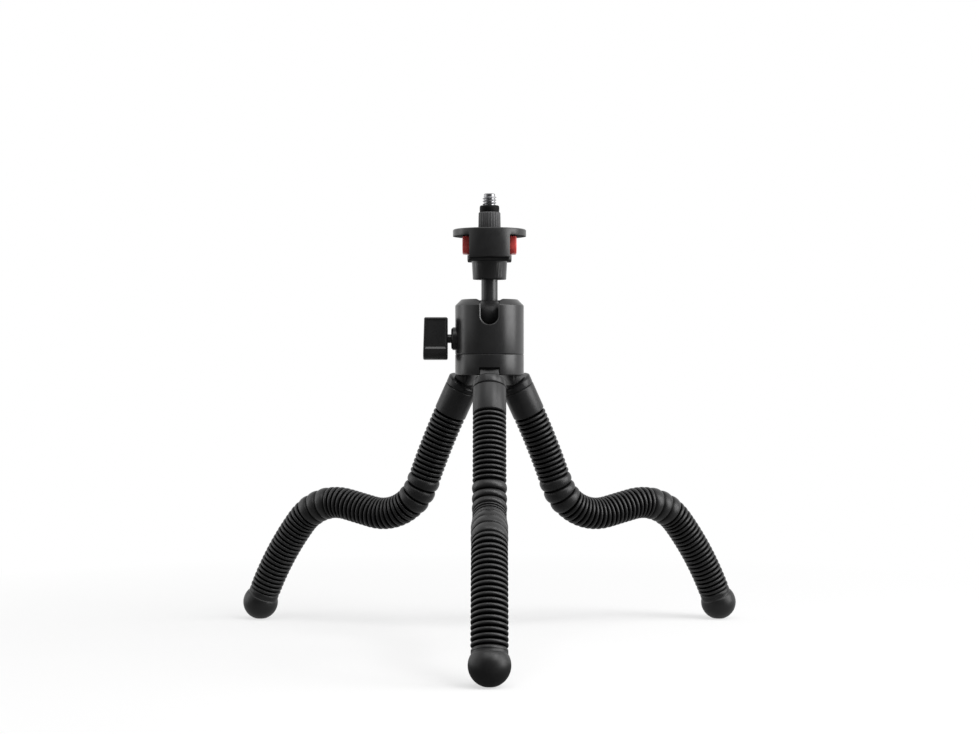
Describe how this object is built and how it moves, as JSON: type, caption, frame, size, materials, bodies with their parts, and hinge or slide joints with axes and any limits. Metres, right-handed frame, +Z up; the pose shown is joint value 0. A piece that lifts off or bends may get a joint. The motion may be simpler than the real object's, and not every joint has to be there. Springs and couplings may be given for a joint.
{
  "type": "flexible leg tripod",
  "caption": "Table-top tripod with bendable ribbed legs, ball feet, a ball head with a lock knob, and a push-button quick release with a camera screw.",
  "frame": {"origin": "on the ground, at the bottom centre of the bounding box of the standing tripod", "axes": "+Z up along the head and the camera screw, +X to the right of the leg that points to the front, -Y along that front leg"},
  "size_m": [0.2426, 0.2124, 0.2031],
  "materials": {
    "black_rubber": "matt moulded rubber",
    "black_plastic": "satin black moulding",
    "dark_steel": "blackened steel",
    "core_wire": "annealed rod",
    "ball_seat_nylon": "natural nylon",
    "red_plastic": "satin red moulding"
  },
  "bodies": {
    "base": {"hub": "black_plastic", "leg_hinge_pins": "dark_steel", "head_housing": "black_plastic", "ball_seat": "ball_seat_nylon", "lock_bush": "black_plastic"},
    "ball": {"ball": "dark_steel"},
    "stem": {"stem": "dark_steel"},
    "swivel": {"release_base": "black_plastic", "release_housing": "black_plastic", "release_spring": "dark_steel"},
    "left_button": {"left_release_button": "red_plastic"},
    "right_button": {"right_release_button": "red_plastic"},
    "screw": {"camera_screw": "dark_steel", "screw_ring": "black_plastic", "seat_pad": "black_rubber"},
    "lock": {"lock_screw": "dark_steel", "lock_knob": "black_plastic"},
    "front_leg_upper": {"front_leg_cap": "black_plastic", "front_leg_ferrule": "black_plastic", "front_leg_upper_sleeve": "black_rubber", "front_leg_upper_core": "core_wire"},
    "front_leg_elbow": {"front_leg_elbow_sleeve": "black_rubber", "front_leg_elbow_core": "core_wire"},
    "front_leg_mid": {"front_leg_mid_sleeve": "black_rubber", "front_leg_mid_core": "core_wire"},
    "front_leg_hump": {"front_leg_hump_sleeve": "black_rubber", "front_leg_hump_core": "core_wire"},
    "front_leg_lower": {"front_leg_lower_sleeve": "black_rubber", "front_leg_lower_core": "core_wire", "front_leg_foot": "black_rubber"},
    "left_leg_upper": {"left_leg_cap": "black_plastic", "left_leg_ferrule": "black_plastic", "left_leg_upper_sleeve": "black_rubber", "left_leg_upper_core": "core_wire"},
    "left_leg_elbow": {"left_leg_elbow_sleeve": "black_rubber", "left_leg_elbow_core": "core_wire"},
    "left_leg_mid": {"left_leg_mid_sleeve": "black_rubber", "left_leg_mid_core": "core_wire"},
    "left_leg_hump": {"left_leg_hump_sleeve": "black_rubber", "left_leg_hump_core": "core_wire"},
    "left_leg_lower": {"left_leg_lower_sleeve": "black_rubber", "left_leg_lower_core": "core_wire", "left_leg_foot": "black_rubber"},
    "right_leg_upper": {"right_leg_cap": "black_plastic", "right_leg_ferrule": "black_plastic", "right_leg_upper_sleeve": "black_rubber", "right_leg_upper_core": "core_wire"},
    "right_leg_elbow": {"right_leg_elbow_sleeve": "black_rubber", "right_leg_elbow_core": "core_wire"},
    "right_leg_mid": {"right_leg_mid_sleeve": "black_rubber", "right_leg_mid_core": "core_wire"},
    "right_leg_hump": {"right_leg_hump_sleeve": "black_rubber", "right_leg_hump_core": "core_wire"},
    "right_leg_lower": {"right_leg_lower_sleeve": "black_rubber", "right_leg_lower_core": "core_wire", "right_leg_foot": "black_rubber"}
  },
  "joints": [
    {"name": "head_lean", "type": "hinge", "parent": "base", "child": "ball", "pos_m": [0, 0.03257, 0.14697], "axis": [0, 1, 0], "range_deg": [-22, 22]},
    {"name": "head_tilt", "type": "hinge", "parent": "ball", "child": "stem", "pos_m": [0, 0.03257, 0.14697], "axis": [1, 0, 0], "range_deg": [-22, 90]},
    {"name": "head_pan", "type": "hinge", "parent": "stem", "child": "swivel", "pos_m": [0, 0.03257, 0.16377], "axis": [0, 0, 1], "continuous": true},
    {"name": "left_button_press", "type": "slide", "parent": "swivel", "child": "left_button", "axis": [1, 0, 0], "range_m": [0, 0.0014], "stiffness_N_per_m": 600, "springref_m": -0.001, "deforming": ["release_spring"]},
    {"name": "right_button_press", "type": "slide", "parent": "swivel", "child": "right_button", "axis": [-1, 0, 0], "range_m": [0, 0.0014], "stiffness_N_per_m": 600, "springref_m": -0.001},
    {"name": "screw_turn", "type": "hinge", "parent": "swivel", "child": "screw", "pos_m": [0, 0.03257, 0.18657], "axis": [0, 0, 1], "continuous": true},
    {"name": "lock_turn", "type": "hinge", "parent": "base", "child": "lock", "pos_m": [-0.02, 0.03257, 0.13667], "axis": [-1, 0, 0], "range_deg": [0, 360]},
    {"name": "front_leg_hub_hinge", "type": "hinge", "parent": "base", "child": "front_leg_upper", "pos_m": [0, 0.02147, 0.12157], "axis": [-1, 0, 0], "range_deg": [-22, 18]},
    {"name": "front_leg_elbow_top", "type": "hinge", "parent": "front_leg_upper", "child": "front_leg_elbow", "pos_m": [0, -0.00775, 0.06277], "axis": [-1, 0, 0], "range_deg": [-38, 15], "deforming": ["front_leg_elbow_sleeve", "front_leg_elbow_core"]},
    {"name": "front_leg_elbow_end", "type": "hinge", "parent": "front_leg_elbow", "child": "front_leg_mid", "pos_m": [0, -0.0229, 0.05463], "axis": [-1, 0, 0], "range_deg": [-38, 15]},
    {"name": "front_leg_hump_top", "type": "hinge", "parent": "front_leg_mid", "child": "front_leg_hump", "pos_m": [0, -0.05341, 0.05853], "axis": [1, 0, 0], "range_deg": [-35, 15], "deforming": ["front_leg_hump_sleeve", "front_leg_hump_core"]},
    {"name": "front_leg_hump_end", "type": "hinge", "parent": "front_leg_hump", "child": "front_leg_lower", "pos_m": [0, -0.06731, 0.05381], "axis": [1, 0, 0], "range_deg": [-35, 15]},
    {"name": "left_leg_hub_hinge", "type": "hinge", "parent": "base", "child": "left_leg_upper", "pos_m": [-0.00961, 0.03812, 0.12157], "axis": [0.5, 0.866, 0], "range_deg": [-22, 18]},
    {"name": "left_leg_elbow_top", "type": "hinge", "parent": "left_leg_upper", "child": "left_leg_elbow", "pos_m": [-0.03492, 0.05274, 0.06277], "axis": [0.5, 0.866, 0], "range_deg": [-38, 15], "deforming": ["left_leg_elbow_sleeve", "left_leg_elbow_core"]},
    {"name": "left_leg_elbow_end", "type": "hinge", "parent": "left_leg_elbow", "child": "left_leg_mid", "pos_m": [-0.04805, 0.06031, 0.05463], "axis": [0.5, 0.866, 0], "range_deg": [-38, 15]},
    {"name": "left_leg_hump_top", "type": "hinge", "parent": "left_leg_mid", "child": "left_leg_hump", "pos_m": [-0.07446, 0.07556, 0.05853], "axis": [-0.5, -0.866, 0], "range_deg": [-35, 15], "deforming": ["left_leg_hump_sleeve", "left_leg_hump_core"]},
    {"name": "left_leg_hump_end", "type": "hinge", "parent": "left_leg_hump", "child": "left_leg_lower", "pos_m": [-0.0865, 0.08252, 0.05381], "axis": [-0.5, -0.866, 0], "range_deg": [-35, 15]},
    {"name": "right_leg_hub_hinge", "type": "hinge", "parent": "base", "child": "right_leg_upper", "pos_m": [0.00961, 0.03812, 0.12157], "axis": [0.5, -0.866, 0], "range_deg": [-22, 18]},
    {"name": "right_leg_elbow_top", "type": "hinge", "parent": "right_leg_upper", "child": "right_leg_elbow", "pos_m": [0.03492, 0.05274, 0.06277], "axis": [0.5, -0.866, 0], "range_deg": [-38, 15], "deforming": ["right_leg_elbow_sleeve", "right_leg_elbow_core"]},
    {"name": "right_leg_elbow_end", "type": "hinge", "parent": "right_leg_elbow", "child": "right_leg_mid", "pos_m": [0.04805, 0.06031, 0.05463], "axis": [0.5, -0.866, 0], "range_deg": [-38, 15]},
    {"name": "right_leg_hump_top", "type": "hinge", "parent": "right_leg_mid", "child": "right_leg_hump", "pos_m": [0.07446, 0.07556, 0.05853], "axis": [-0.5, 0.866, 0], "range_deg": [-35, 15], "deforming": ["right_leg_hump_sleeve", "right_leg_hump_core"]},
    {"name": "right_leg_hump_end", "type": "hinge", "parent": "right_leg_hump", "child": "right_leg_lower", "pos_m": [0.0865, 0.08252, 0.05381], "axis": [-0.5, 0.866, 0], "range_deg": [-35, 15]}
  ],
  "couplings": [
    {"joint": "front_leg_elbow_end", "follows": "front_leg_elbow_top", "ratio": 1},
    {"joint": "front_leg_hump_end", "follows": "front_leg_hump_top", "ratio": 1},
    {"joint": "left_leg_elbow_end", "follows": "left_leg_elbow_top", "ratio": 1},
    {"joint": "left_leg_hump_end", "follows": "left_leg_hump_top", "ratio": 1},
    {"joint": "right_leg_elbow_end", "follows": "right_leg_elbow_top", "ratio": 1},
    {"joint": "right_leg_hump_end", "follows": "right_leg_hump_top", "ratio": 1}
  ]
}
